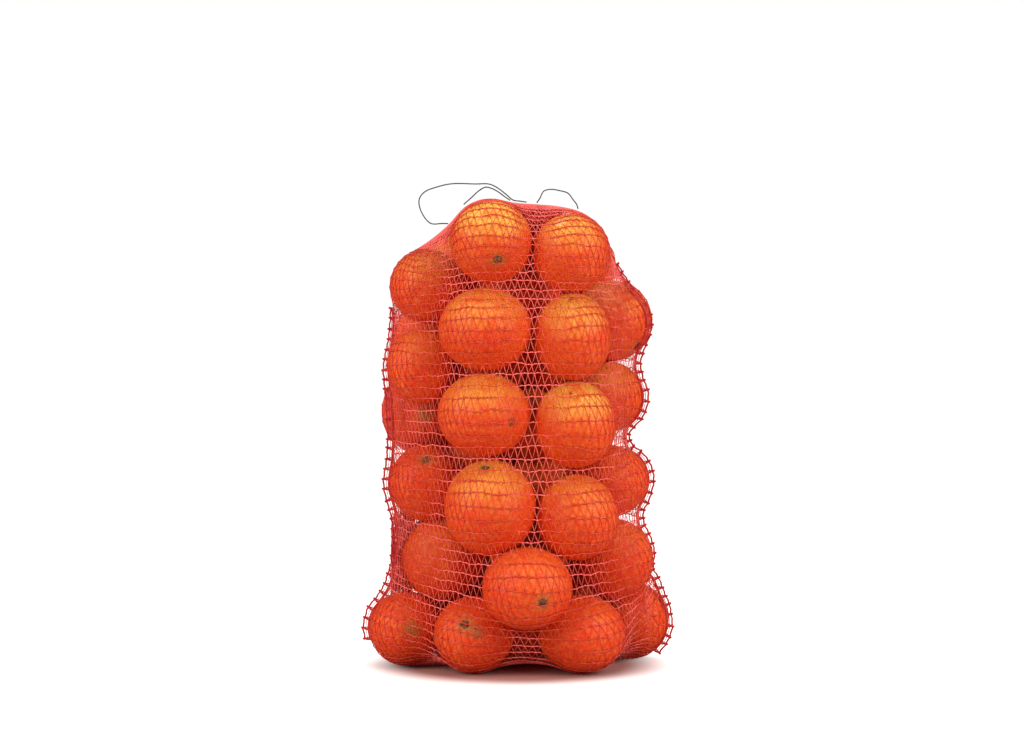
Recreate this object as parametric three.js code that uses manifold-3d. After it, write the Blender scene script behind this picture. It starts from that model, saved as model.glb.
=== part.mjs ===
// A net of oranges: a tall sack of red knitted netting, packed with oranges and standing on its base.
// The packed sack is one solid: netting pulled tight over the fruit, dipping in between them,
// with a seam standing out down each side and an ear at each bottom corner.
// The dark drawstring comes out of the mouth hem in three stiff loops.
// Millimetres, +Z up, the front facing -Y, the origin on the floor at the middle of the sack.

import * as THREE from 'three';
import { mergeVertices } from 'three/addons/utils/BufferGeometryUtils.js';
import Module from 'manifold-3d';

// The netting
const NET_DEPTH = 1.0;
const ROWS = 40;
const COLUMNS = 88;
const FRONT_COLUMNS = COLUMNS / 2;
const PULL_PASSES = 400;
const PULL = 0.6;
const PULL_ROUND = 0.9;
const SEAM_PULL_ROUND = 0.45;
const LEFT_SEAM_PULL_ROUND = 0.25;
const RIGHT_SEAM_PULL_ROUND = 0.7;
const EASED_ROWS = 6;
const HEM_THICKNESS = 2.4;
const SEAM_HOLD = 0.2;
const FLAT_BELOW = 1.3;

// The deep notch in the right seam, where the sack has no fruit at its edge
const NOTCH_ACROSS = 86;
const NOTCH_UP = 184.5;
const NOTCH_REACH = 9;
const NOTCH_HOLD = 0.5;

// How the solid sinks in between the oranges, as far as they can be seen through the netting
const SINK_PASSES = 16;
const SINK_STEP = 1.0;
const SINK_EASE = 0.35;
const SINK_FADES_OVER_COLUMNS = 4;
const SINK_FADES_OVER_ROWS = 6;
const SINK_STARTS_AT = 5;
const SINK_FULL_AT = 20;

// The slack sack that the netting is pulled in from
const SLACK_HALF_WIDTH = 128;
const SLACK_HALF_DEPTH = 88;
const SLACK_HEIGHT = 384;
const SLACK_ROOF = 60;
const SLACK_MOUTH_SHARE = 0.6;

// The seams and the drawstring
const SEAM_WIDTH = 6.5;
const SEAM_THICKNESS = 1.4;
const SEAM_ROOT = 3;
const SEAM_TOP_WIDTH = 3;
const SEAM_NARROWS_AT = 0.8;
const LEFT_SEAM_REACH = [0.08, 0.8];
const RIGHT_SEAM_REACH = [0.065, 0.95];
const SEAM_STEPS = 46;
const SEAM_OFF_FLOOR = 0.5;
const STRING_DIAMETER = 1.1;
const STRING_SIDES = 8;
const STRING_STEP = 5;

// The oranges in sight, tier by tier from the floor up.
// Each is [across, back, up, half width, half height].
const FRUIT_IN_SIGHT = [
  [-89, -5, 31, 29.5, 29.5], [-34, -38, 31, 32, 30], [51, -38, 31.5, 35, 30.5], [92, 33, 32, 30, 31],
  [-58, 4, 86, 33, 34.5], [8, -61, 70.5, 34, 32.5], [79, 2, 85, 30.5, 33],
  [-73, -6, 148, 29, 31], [-21, -46, 132, 36, 38], [47, -42, 124, 33, 34], [76, 8, 148, 29.5, 29],
  [-80, 32, 206, 31, 33], [-26, -43, 205, 37, 33], [45.5, -42, 197, 32.5, 34.5], [72.5, 12, 216, 29.5, 29],
  [-76, -18, 242, 27, 30.5], [-25, -43, 272, 37, 33], [43.5, -42, 266, 30.5, 34.5], [76, 15, 277, 32.5, 33],
  [-71, -8, 305, 30, 30], [-20, -42, 340, 32.5, 32.5], [42, -41, 331.5, 30.5, 31],
];

// The oranges behind them, up the middle and then up the back, let down until they touch.
// Each is [across, back, up] where it starts.
const FRUIT_BEHIND = [
  [4, 2, 51], [19, 0, 98], [4, 18, 198], [24, 28, 234], [-6, 11, 276],
  [-51, 27, 61], [46, 67, 31], [-9, 47, 63], [42, 23, 73], [-23, 48, 161], [19, 45, 159], [-13, 53, 230],
  [38, 75, 190], [-16, 31, 245], [33, 59, 317], [-57, 33, 319], [-60, 32, 294], [-35, 51, 163],
];
const BEHIND_RADIUS = 31.2;
const BEHIND_SPREAD = 1.8;
const BEHIND_FLATNESS = 1.5;
const SETTLING_PASSES = 300;
const SETTLING_FORWARD = 0.12;
const SETTLING_DOWN = 0.06;

// The bottom seam from corner to corner, and the mouth hem from left to right over the top fruit.
const BOTTOM_SEAM = [
  [-104, -4, 3.5], [-95, -4, 0.8], [-84, -3, 0], [0, 8, 0], [84, 24, 0], [98, 28, 0.8], [108, 30, 3.5],
];
const MOUTH_HEM = [
  [-69, -16, 339.5], [-54, -22, 353.5], [-41, -28, 367.2], [-30, -31, 372.7], [-18, -33, 373.7],
  [-3, -32, 370.8], [18, -31, 369.2], [30, -31, 368.2], [47, -31, 364.5], [57, -27, 359.5],
  [64, -22, 352.5], [69, -16, 344.5],
];

// The drawstring's loops. Each starts and ends just over the hem that it is threaded through.
const STRING_LOOPS = {
  drawstring_left_loop: [
    [-54.5, -22, 354.9], [-59.5, -20, 355], [-68.5, -18, 355.2], [-76, -15, 364.5], [-77.7, -14, 374],
    [-73.5, -14, 380], [-63.5, -15, 384], [-51.5, -17, 386.5], [-33, -21, 386.2], [-22, -24, 386],
    [-15.5, -27, 383], [-8, -30, 377.2], [-3, -31, 373.2], [2.5, -31, 372.4], [7.5, -31, 371.6],
  ],
  drawstring_inner_loop: [
    [-42, -28, 369.9], [-40, -27, 371.8], [-35.5, -25, 375.8], [-30.5, -24, 380.5], [-25, -25.5, 383.5],
    [-20, -27.5, 382.5], [-15, -30, 379.8], [-9.5, -33, 375.7], [-5.5, -34.5, 373],
  ],
  drawstring_right_loop: [
    [15.5, -31, 371.1], [18, -30, 374.8], [21, -28, 380.3], [27, -26, 381.8], [34, -26, 380.7],
    [40, -27, 378.8], [44, -29, 373.8], [47, -30, 369.7], [48, -30.5, 366.3],
  ],
};

const wasm = await Module();
wasm.setup();

// A fruit as an upright ellipsoid of rotation.
function makeFruit([x, y, z, halfWidth, halfHeight]) {
  return { x, y, z, halfWidth, halfHeight, radius: (2 * halfWidth + halfHeight) / 3 };
}

function liftOffFloor(fruit) {
  fruit.z = Math.max(fruit.z, fruit.halfHeight + NET_DEPTH);
}

function makeFruitBehind() {
  return FRUIT_BEHIND.map(([x, y, z], index) => {
    const radius = BEHIND_RADIUS + BEHIND_SPREAD * Math.sin(5 * index + 1);
    return makeFruit([x, y, z, radius, radius - BEHIND_FLATNESS]);
  });
}

// Moves two fruits apart where they cross. The share is how much of the way the second one goes.
function keepApart(first, second, share) {
  const dx = second.x - first.x;
  const dy = second.y - first.y;
  const dz = second.z - first.z;
  const distance = Math.hypot(dx, dy, dz);
  const overlap = first.radius + second.radius - distance;
  if (overlap <= 0) return;
  const move = overlap / distance;
  second.x += dx * move * share;
  second.y += dy * move * share;
  second.z += dz * move * share;
  first.x -= dx * move * (1 - share);
  first.y -= dy * move * (1 - share);
  first.z -= dz * move * (1 - share);
}

function settle(behind, inSight) {
  for (let pass = 0; pass < SETTLING_PASSES; pass += 1) {
    for (const [index, fruit] of behind.entries()) {
      fruit.y -= SETTLING_FORWARD;
      fruit.z -= SETTLING_DOWN;
      for (const fixed of inSight) keepApart(fixed, fruit, 1);
      for (const other of behind.slice(index + 1)) keepApart(fruit, other, 0.5);
      liftOffFloor(fruit);
    }
  }
}

function packFruit() {
  const inSight = FRUIT_IN_SIGHT.map(makeFruit);
  const behind = makeFruitBehind();
  inSight.forEach(liftOffFloor);
  behind.forEach(liftOffFloor);
  settle(behind, inSight);
  return [...inSight, ...behind];
}

// Moves a point of the netting out to the skin of any fruit that it has sunk into.
function pushOut(point, fruits) {
  for (const fruit of fruits) {
    const wide = fruit.halfWidth + NET_DEPTH;
    const high = fruit.halfHeight + NET_DEPTH;
    const dx = point.x - fruit.x;
    const dy = point.y - fruit.y;
    const dz = point.z - fruit.z;
    const depth = Math.sqrt((dx * dx + dy * dy) / (wide * wide) + (dz * dz) / (high * high));
    if (depth < 1) point.set(fruit.x + dx / depth, fruit.y + dy / depth, fruit.z + dz / depth);
  }
  point.z = Math.max(point.z, 0);
}

function spline(points) {
  const places = points.map(([x, y, z]) => new THREE.Vector3(x, y, z));
  return new THREE.CatmullRomCurve3(places, false, 'centripetal');
}

// How far along a shut row (the bottom seam or the mouth) a column lies, from the left end to the right.
function alongSeam(column) {
  return column <= FRONT_COLUMNS ? column / FRONT_COLUMNS : (COLUMNS - column) / FRONT_COLUMNS;
}

// The slack sack: rows from the bottom seam out over the floor, up the sides and in to the mouth.
// Column 0 is the left seam, then come the front, the right seam and the back.
function slackPoint(row, column) {
  const path = SLACK_HALF_DEPTH + SLACK_HEIGHT + SLACK_ROOF;
  const along = (row / ROWS) * path;
  const onFloor = Math.min(along / SLACK_HALF_DEPTH, 1);
  const onRoof = Math.min((path - along) / SLACK_ROOF, 1);
  const angle = (column / COLUMNS) * 2 * Math.PI;
  const narrowing = THREE.MathUtils.lerp(SLACK_MOUTH_SHARE, 1, onRoof);
  return new THREE.Vector3(
    -Math.cos(angle) * SLACK_HALF_WIDTH * narrowing,
    -Math.sin(angle) * SLACK_HALF_DEPTH * onFloor * onRoof,
    Math.min(Math.max(along - SLACK_HALF_DEPTH, 0), SLACK_HEIGHT),
  );
}

// A shut row is two edges side by side, the front one and the back one, that meet at its ends.
function shutRow(line) {
  return Array.from({ length: COLUMNS }, (_, column) => {
    const point = line.getPointAt(alongSeam(column));
    if (column % FRONT_COLUMNS !== 0) point.y += (column < FRONT_COLUMNS ? -1 : 1) * HEM_THICKNESS / 2;
    return point;
  });
}

function slackNet() {
  const net = [shutRow(spline(BOTTOM_SEAM))];
  for (let row = 1; row < ROWS; row += 1) {
    net.push(Array.from({ length: COLUMNS }, (_, column) => slackPoint(row, column)));
  }
  net.push(shutRow(spline(MOUTH_HEM)));
  return net;
}

// How much of the pull on a point is round the sack: less on the seams and beside the shut rows.
function pullRoundAt(row, column) {
  const fromEnd = Math.min(row, ROWS - row, EASED_ROWS) / EASED_ROWS;
  if (column === 0) return THREE.MathUtils.lerp(SEAM_PULL_ROUND, LEFT_SEAM_PULL_ROUND, fromEnd);
  if (column === FRONT_COLUMNS) return THREE.MathUtils.lerp(SEAM_PULL_ROUND, RIGHT_SEAM_PULL_ROUND, fromEnd);
  return THREE.MathUtils.lerp(SEAM_PULL_ROUND, PULL_ROUND, fromEnd);
}

// A side seam runs up the sack in a straight line as seen from the side.
function seamBack(net, column, row) {
  return THREE.MathUtils.lerp(net[0][column].y, net[ROWS][column].y, row / ROWS);
}

function notchHold(point) {
  return NOTCH_HOLD * Math.exp(-(((point.z - NOTCH_UP) / NOTCH_REACH) ** 2));
}

// The netting's tension: each point is drawn to its neighbours, more round the sack than upward.
function pullTight(net, fruits) {
  for (let pass = 0; pass < PULL_PASSES; pass += 1) {
    const before = net.map((row) => row.map((point) => point.clone()));
    for (let row = 1; row < ROWS; row += 1) {
      for (let column = 0; column < COLUMNS; column += 1) {
        const point = net[row][column];
        const onSeam = column % FRONT_COLUMNS === 0;
        const pullRound = pullRoundAt(row, column);
        const round = before[row][(column + 1) % COLUMNS].clone();
        round.add(before[row][(column + COLUMNS - 1) % COLUMNS]).multiplyScalar(pullRound / 2);
        const upward = before[row + 1][column].clone().add(before[row - 1][column]);
        point.lerp(round.add(upward.multiplyScalar((1 - pullRound) / 2)), PULL);
        if (onSeam) point.y += (seamBack(net, column, row) - point.y) * SEAM_HOLD;
        if (column === FRONT_COLUMNS) point.x += (NOTCH_ACROSS - point.x) * notchHold(point);
        pushOut(point, fruits);
      }
    }
  }
}

// How freely a point sinks in: not on the seams, the shut rows and the base.
function sinkShare(net, row, column) {
  const fromSeam = Math.min(column % FRONT_COLUMNS, FRONT_COLUMNS - (column % FRONT_COLUMNS));
  const fromEnd = Math.min(row, ROWS - row) - 1;
  const height = (net[row][column].z - SINK_STARTS_AT) / (SINK_FULL_AT - SINK_STARTS_AT);
  const share = Math.min(fromSeam / SINK_FADES_OVER_COLUMNS, fromEnd / SINK_FADES_OVER_ROWS, height);
  return THREE.MathUtils.clamp(share, 0, 1);
}

function inwardAt(net, row, column) {
  const round = net[row][(column + 1) % COLUMNS].clone().sub(net[row][(column + COLUMNS - 1) % COLUMNS]);
  const upward = net[row + 1][column].clone().sub(net[row - 1][column]);
  return upward.cross(round).normalize();
}

// Lets the solid sink in between the oranges, so that each one stands out.
function sinkBetween(net, fruits) {
  for (let pass = 0; pass < SINK_PASSES; pass += 1) {
    const before = net.map((row) => row.map((point) => point.clone()));
    for (let row = 1; row < ROWS; row += 1) {
      for (let column = 0; column < COLUMNS; column += 1) {
        const share = sinkShare(before, row, column);
        if (share === 0) continue;
        const point = net[row][column];
        const middle = before[row + 1][column].clone().add(before[row - 1][column]);
        middle.add(before[row][(column + 1) % COLUMNS]);
        middle.add(before[row][(column + COLUMNS - 1) % COLUMNS]).multiplyScalar(0.25);
        point.lerp(middle, SINK_EASE * share);
        point.addScaledVector(inwardAt(before, row, column), SINK_STEP * share);
        pushOut(point, fruits);
      }
    }
  }
}

function flattenBase(net) {
  for (const point of net.flat()) {
    if (point.z < FLAT_BELOW) point.z = 0;
  }
}

function geometryFrom(positions, faces) {
  const geometry = new THREE.BufferGeometry();
  geometry.setAttribute('position', new THREE.Float32BufferAttribute(positions, 3));
  geometry.setIndex(faces);
  return geometry;
}

// The narrow strip that joins the two edges of a shut row, facing up at the mouth and down at the base.
function shutRowFaces(start, facesUp) {
  const faces = [];
  const turn = ([a, b, c]) => (facesUp ? [a, b, c] : [a, c, b]);
  for (let column = 0; column < FRONT_COLUMNS; column += 1) {
    const front = start + column;
    const back = start + COLUMNS - column;
    if (column < FRONT_COLUMNS - 1) faces.push(...turn([front, front + 1, back - 1]));
    if (column > 0) faces.push(...turn([front, back - 1, back]));
  }
  return faces;
}

function netGeometry(net) {
  const positions = net.flat().flatMap((point) => point.toArray());
  const mouth = ROWS * COLUMNS;
  const faces = [...shutRowFaces(0, false), ...shutRowFaces(mouth, true)];
  for (let row = 0; row < ROWS; row += 1) {
    for (let column = 0; column < COLUMNS; column += 1) {
      const next = (column + 1) % COLUMNS;
      const low = row * COLUMNS;
      const high = low + COLUMNS;
      faces.push(low + column, low + next, high + next);
      faces.push(low + column, high + next, high + column);
    }
  }
  return geometryFrom(positions, faces);
}

// A side seam is a flat strip that stands out from the netting, narrowing to its upper end.
// Its reach is where it starts and ends, as shares of the way from the bottom seam to the mouth.
function seamGeometry(net, column, reach) {
  const path = new THREE.CatmullRomCurve3(net.slice(1).map((row) => row[column]), false, 'centripetal');
  const side = Math.sign(net[1][column].x);
  const positions = [];
  const faces = [];
  for (let step = 0; step <= SEAM_STEPS; step += 1) {
    const share = step / SEAM_STEPS;
    const place = THREE.MathUtils.lerp(...reach, share);
    const point = path.getPointAt(place);
    const along = path.getTangentAt(place);
    const out = new THREE.Vector3(side * along.z, 0, -side * along.x).normalize();
    const across = new THREE.Vector3().crossVectors(along, out).multiplyScalar(SEAM_THICKNESS / 2);
    const narrowing = Math.max(0, (share - SEAM_NARROWS_AT) / (1 - SEAM_NARROWS_AT));
    const width = THREE.MathUtils.lerp(SEAM_WIDTH, SEAM_TOP_WIDTH, narrowing);
    const root = point.clone().addScaledVector(out, -SEAM_ROOT);
    const edge = point.clone().addScaledVector(out, width);
    root.z = Math.max(root.z, SEAM_OFF_FLOOR);
    edge.z = Math.max(edge.z, SEAM_OFF_FLOOR);
    const front = [root.clone().sub(across), edge.clone().sub(across)];
    const back = [edge.add(across), root.add(across)];
    for (const corner of [...front, ...back]) positions.push(corner.x, corner.y, corner.z);
    for (let corner = 0; corner < 4 && step < SEAM_STEPS; corner += 1) {
      const here = step * 4 + corner;
      const next = step * 4 + (corner + 1) % 4;
      faces.push(here, next, next + 4, here, next + 4, here + 4);
    }
  }
  const top = SEAM_STEPS * 4;
  faces.push(0, 2, 1, 0, 3, 2);
  faces.push(top, top + 1, top + 2, top, top + 2, top + 3);
  return geometryFrom(positions, faces);
}

function solidFrom(geometry) {
  const merged = mergeVertices(geometry);
  const vertProperties = new Float32Array(merged.attributes.position.array);
  const triVerts = new Uint32Array(merged.index.array);
  return new wasm.Manifold(new wasm.Mesh({ numProp: 3, vertProperties, triVerts }));
}

function geometryOf(solid) {
  const mesh = solid.getMesh();
  const geometry = geometryFrom([...mesh.vertProperties], [...mesh.triVerts]);
  geometry.computeVertexNormals();
  return geometry;
}

function makeNet() {
  const fruits = packFruit();
  const net = slackNet();
  pullTight(net, fruits);
  sinkBetween(net, fruits);
  flattenBase(net);
  const sack = solidFrom(netGeometry(net));
  const leftSeam = solidFrom(seamGeometry(net, 0, LEFT_SEAM_REACH));
  const rightSeam = solidFrom(seamGeometry(net, FRONT_COLUMNS, RIGHT_SEAM_REACH));
  const whole = sack.add(leftSeam).add(rightSeam);
  const material = new THREE.MeshStandardMaterial({ color: 0xe2501f, roughness: 0.55, metalness: 0 });
  const mesh = new THREE.Mesh(geometryOf(whole), material);
  mesh.name = 'net_of_oranges';
  return mesh;
}

function makeStringLoop(name, points) {
  const path = spline(points);
  const section = new THREE.Shape();
  for (let side = 0; side < STRING_SIDES; side += 1) {
    const angle = (side / STRING_SIDES) * 2 * Math.PI;
    const corner = [Math.cos(angle) * STRING_DIAMETER / 2, Math.sin(angle) * STRING_DIAMETER / 2];
    if (side === 0) section.moveTo(...corner);
    else section.lineTo(...corner);
  }
  section.closePath();
  const steps = Math.round(path.getLength() / STRING_STEP);
  const geometry = new THREE.ExtrudeGeometry(section, { steps, extrudePath: path });
  const material = new THREE.MeshStandardMaterial({ color: 0x3a3a38, roughness: 0.8, metalness: 0 });
  const mesh = new THREE.Mesh(geometry, material);
  mesh.name = name;
  return mesh;
}

const netOfOranges = new THREE.Group();
netOfOranges.add(makeNet());
for (const [name, points] of Object.entries(STRING_LOOPS)) netOfOranges.add(makeStringLoop(name, points));

export default netOfOranges;
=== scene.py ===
# A net of oranges standing on a pale floor: each orange with its pores, stem and scars, the red
# netting over them yarn by yarn, a ladder seam down each side, the mouth hem and the dark drawstring.
# Sizes are millimetres in the lists below and metres everywhere else.
import math

import bpy
import numpy as np
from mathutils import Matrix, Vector


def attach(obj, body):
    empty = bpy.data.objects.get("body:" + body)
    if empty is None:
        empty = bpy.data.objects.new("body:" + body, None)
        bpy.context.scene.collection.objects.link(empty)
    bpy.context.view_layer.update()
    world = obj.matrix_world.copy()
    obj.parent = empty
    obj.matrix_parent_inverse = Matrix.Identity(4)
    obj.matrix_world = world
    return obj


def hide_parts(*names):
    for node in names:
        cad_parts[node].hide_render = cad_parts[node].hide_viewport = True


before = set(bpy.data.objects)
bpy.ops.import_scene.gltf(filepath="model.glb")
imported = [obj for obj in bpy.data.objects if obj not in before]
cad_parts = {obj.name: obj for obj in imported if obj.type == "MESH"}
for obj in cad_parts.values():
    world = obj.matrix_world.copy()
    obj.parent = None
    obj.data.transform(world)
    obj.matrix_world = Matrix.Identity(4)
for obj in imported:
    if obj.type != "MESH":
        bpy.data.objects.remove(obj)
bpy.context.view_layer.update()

MM = 0.001

# The oranges in sight, from the floor up: place, half width, half height, then what shows on each.
# A stem or a mark is [across, up] from the middle of the fruit as it is seen from the front.
RUSSET = (0.30, 0.13, 0.035)
BROWN = (0.10, 0.035, 0.015)
OLIVE = (0.33, 0.17, 0.03)
PALE = (0.86, 0.52, 0.28)
# Each tone is partly the fruit's own colour and partly painted light: it shifts the peel from deep to bright
# and sets how much painted highlight the fruit gets, higher for the better-lit fruit up the sack.
FRUIT_IN_SIGHT = [
    dict(name="low_left", at=(-89, -5, 31), half=(29.5, 29.5), mark=(6, 3), spread=9, skin=OLIVE, tone=0),
    dict(name="low_front_left", at=(-34, -38, 31), half=(32, 30), mark=(3, 6), spread=8, skin=RUSSET,
         stem=(-7, 12), tone=0),
    dict(name="low_front_right", at=(51, -38, 31.5), half=(35, 30.5), tone=0.03),
    dict(name="low_right", at=(94, 33, 32), half=(30, 31), tone=0),
    dict(name="second_left", at=(-60, 4, 87), half=(34, 36), tone=0.1),
    dict(name="second_front", at=(8, -61, 70.5), half=(35.5, 32.5), stem=(12, -7), tone=0.14),
    dict(name="second_right", at=(79, 2, 85), half=(30.5, 33), tone=0.1),
    dict(name="third_left", at=(-73, -6, 148), half=(29, 31), stem=(1, 21), tone=0),
    dict(name="third_front_left", at=(-21, -46, 132), half=(36.5, 38), stem=(-4, 34), tone=0.55),
    dict(name="third_front_right", at=(47, -42, 124), half=(33, 34), mark=(8, -26), spread=2, skin=BROWN,
         tone=0.32),
    dict(name="third_right", at=(76, 8, 148), half=(29.5, 29), tone=0.05),
    dict(name="fourth_left", at=(-79, 25, 203), half=(30.5, 35), mark=(6, 0), spread=10, skin=OLIVE,
         tone=0),
    dict(name="fourth_front_left", at=(-26, -43, 205), half=(37, 33), mark=(23, -4), spread=5, skin=BROWN,
         tone=0.55),
    dict(name="fourth_front_right", at=(45.5, -42, 197), half=(32.5, 34.5), mark=(-4, 26), spread=1.8,
         skin=BROWN, tone=0.8),
    dict(name="fourth_right", at=(72.5, 12, 216), half=(29.5, 29), tone=0.35),
    dict(name="fifth_left", at=(-76, -18, 242), half=(27, 30.5), tone=0.2),
    dict(name="fifth_front_left", at=(-25, -43, 272), half=(37, 33), mark=(14, 19), spread=2.2, skin=BROWN,
         tone=0.55),
    dict(name="fifth_front_right", at=(43.5, -42, 266), half=(30.5, 34.5), mark=(-1, 30), spread=4,
         skin=BROWN, tone=0.75),
    dict(name="fifth_right", at=(76, 15, 277), half=(32.5, 33), stem=(21, -21), tone=0.4),
    dict(name="top_left", at=(-71, -8, 305), half=(30, 30), tone=0.4),
    dict(name="top_front_left", at=(-20, -42, 340), half=(32.5, 32.5), stem=(5, -14), tone=1.2),
    dict(name="top_front_right", at=(42, -41, 331.5), half=(30.5, 31), mark=(-9, 24), spread=5, skin=PALE,
         tone=0.75),
]

# The oranges behind them, up the middle and then up the back, let down until they touch.
FRUIT_BEHIND = [
    (4, 2, 51), (19, 0, 98), (4, 18, 198), (24, 28, 234), (-6, 11, 276), (-51, 27, 61), (46, 67, 31),
    (-9, 47, 63), (42, 23, 73), (-23, 48, 161), (19, 45, 159), (-13, 53, 230), (38, 75, 190), (-16, 31, 245),
    (33, 59, 317), (-60, 50, 312), (-58, 62, 270), (-35, 51, 163),
]
BEHIND_RADIUS = 31.2
BEHIND_SPREAD = 1.8
BEHIND_FLATNESS = 1.5
PRESSED_TOGETHER = 2.0
SETTLING_PASSES = 300
SETTLING_FORWARD = 0.12
SETTLING_DOWN = 0.06
FLOOR_GAP = 1.0

# The bottom seam from corner to corner, and the mouth hem from left to right over the top fruit.
BOTTOM_SEAM = [
    (-104, -4, 3.5), (-95, -4, 0.8), (-84, -3, 0), (0, 8, 0), (84, 24, 0), (98, 28, 0.8), (108, 30, 3.5),
]
MOUTH_HEM = [
    (-69, -16, 339.5), (-54, -22, 353.5), (-41, -28, 367.2), (-30, -31, 372.7), (-18, -33, 373.7),
    (-3, -32, 370.8), (18, -31, 369.2), (30, -31, 368.2), (47, -31, 364.5), (57, -27, 359.5),
    (64, -22, 352.5), (69, -16, 344.5),
]

# The drawstring's loops, each along its whole route.
STRING_DIAMETER = 1.1
STRING_LOOPS = {
    "drawstring_left_loop": [
        (-54.5, -22, 354.9), (-59.5, -20, 355), (-68.5, -18, 355.2), (-76, -15, 364.5), (-77.7, -14, 374),
        (-73.5, -14, 380), (-63.5, -15, 384), (-51.5, -17, 386.5), (-33, -21, 386.2), (-22, -24, 386),
        (-15.5, -27, 383), (-8, -30, 377.2), (-3, -31, 373.2), (2.5, -31, 372.4), (7.5, -31, 371.6),
    ],
    "drawstring_inner_loop": [
        (-42, -28, 369.9), (-40, -27, 371.8), (-35.5, -25, 375.8), (-30.5, -24, 380.5), (-25, -25.5, 383.5),
        (-20, -27.5, 382.5), (-15, -30, 379.8), (-9.5, -33, 375.7), (-5.5, -34.5, 373),
    ],
    "drawstring_right_loop": [
        (15.5, -31, 371.1), (18, -30, 374.8), (21, -28, 380.3), (27, -26, 381.8), (34, -26, 380.7),
        (40, -27, 378.8), (44, -29, 373.8), (47, -30, 369.7), (48, -30.5, 366.3),
    ],
}

# The netting: chain rows from the bottom seam to the mouth, joined by zigzag yarns
CHAIN_ROWS = 56
COLUMNS = 204
COARSE = 2
NET_CLEARANCE = 0.55
PULL = 0.6
PULL_ROUND = 0.955
SEAM_PULL_ROUND = 0.7
LEFT_SEAM_PULL_ROUND = 0.35
RIGHT_SEAM_PULL_ROUND = 0.9
EASED_ROWS = 8
SEAM_HOLD = 0.2
COARSE_PASSES = 420
FINE_PASSES = 160
HEM_THICKNESS = 2.4
SLACK_HALF_WIDTH = 128
SLACK_HALF_DEPTH = 100
SLACK_HEIGHT = 384
SLACK_ROOF = 60
SLACK_MOUTH_SHARE = 0.6
CHAIN_RADIUS = 0.33
KNOT_RADIUS = 0.56
BRIGHT_YARN_RADIUS = 0.25
DIM_YARN_RADIUS = 0.17

# The ladder seams: each one's column of the netting, its reach up the sack and the length of its rungs
SEAMS = {
    "left": dict(column=0, reach=(0.07, 0.81), width=5.6),
    "right": dict(column=COLUMNS // 2, reach=(0.03, 0.93), width=5.6),
}
SEAM_TOP_WIDTH = 3
RUNG_SPACING = 7.8
RUNG_RADIUS = 0.5
RUNG_SPREAD = (-1.3, -0.25, 1.0)
SEAM_KNOT_RADIUS = 1.05
SEAM_KNOT_HALF_LENGTH = 1.1
SEAM_RAILS = [(0.94, 0.6), (0.84, 0.42), (0.45, 0.3), (0.1, 0.8), (-0.12, 0.6)]
RAIL_BEADS = 3
OUTER_RAIL_SAG = 0.5
INNER_RAIL_SAG = 0.1
RAIL_SWAY = 0.25
RUNG_STEPS = 4
RUNG_ROOT = 0.6
RUNG_BOW = 0.3
RUNG_LENGTHS = (0.84, 1.0)
RUNG_SKEW = 0.9
RUNG_SWAY = 0.5
NARROW_FROM = 0.8
SEAM_KNOT_STEPS = 5
SEAM_KNOT_TIP = 0.04

# The deep notch in the right seam, and the place below it where the rows are drawn together
NOTCH_ACROSS = 86
NOTCH_UP = 184.5
NOTCH_REACH = 9
NOTCH_HOLD = 0.5
GATHER_UP = 45
GATHER_LIFT = 26
GATHER_REACH = 25

# Loose netting gathered behind the mouth between the two top fruit, and folded beside the left seam.
# Each is the line its strands start from, the line they run to, how deep it is and how many strands.
FOLDS = {
    "mouth_folds": dict(
        start=[(-4, -30, 371), (16, -29, 369), (38, -29, 367)],
        end=[(6, -24, 322), (12, -24, 320), (18, -24, 322)],
        depth=34, strands=420, feather=0.03),
    "side_folds": dict(
        start=[(-102, -7, 50), (-94, -9, 51), (-84, -11, 54)],
        end=[(-100, -6, 124), (-92, -8, 127), (-81, -10, 130)],
        depth=14, strands=140, feather=0.2),
}
FOLD_STEPS = 10
FOLD_WAVE = 0.9
FOLD_RADIUS = 0.3
FOLD_CHAINS = 7
FOLD_SAMPLES = 200
FOLD_SWERVE = 0.08
FOLD_WAVES = (5, 14)
FOLD_LAYERS = 4
FOLD_CHAIN_STEPS = 24
FOLD_CHAIN_WAVE = 1.3
FOLD_CHAIN_RADIUS = 0.4

# How the rows and columns of the netting wander: how far, and the waves that add up to it
ROW_WANDER = 0.44
COLUMN_WANDER = 0.33
WANDER_WAVES = 9
WANDER_TURNS = 3
WANDER_MORE_TURNS = 4
WANDER_FADE = 0.4
WANDER_SKEW = (2, 9)

# The view: where the photograph was taken from
LENS = 85
VIEW_DISTANCE = 1.939
VIEW_TILT = math.radians(2.6)
VIEW_MIDDLE = Vector((-0.004, 0, 0.240))

# Shapes of the fruit and the yarns
SEED = 7
SPLINE_STEPS = 24
PEEL_RINGS = 44
PEEL_SEGMENTS = 56
RIBS = 9
RING_CROWDING = 0.11
LUMP_WAVES = 4
LUMP_TURNS = 2.6
LUMP_DEPTH = 0.014
LEAST_FORWARD = 0.02
BUTTON_RADIUS = 4.4
BUTTON_SPREAD = (0.85, 1.15)
BUTTON_SEGMENTS = 30
BUTTON_SEPALS = 5
BUTTON_STUB = 0.5
BUTTON_RINGS = np.array([0.0001, 0.22, 0.34, 0.45, 0.75, 1.0])
BUTTON_HEIGHTS = np.array([1.15, 1.1, 0.55, 0.35, 0.45, -0.25])
CHAIN_WAVE = 0.3
FREE_AT = 6.0
DEEP_AT = 32.0
YARN_STEPS = 4
YARN_BOW = 0.35
YARN_CLEARANCE = 0.1
HEM_ROWS = (0.12, 0.24, 0.36, 0.48, 0.62, 0.78)
HEM_YARN_RADIUS = 0.24
HEM_EDGE_RADIUS = 0.6
HEM_LIFT = 0.25
LINE_SAMPLES = 400
STRING_STEP = 0.6
STRING_SIDES = 12
STRING_PLIES = 3
STRING_PLY_DEPTH = 0.12
STRING_LAY = 3.2

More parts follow.
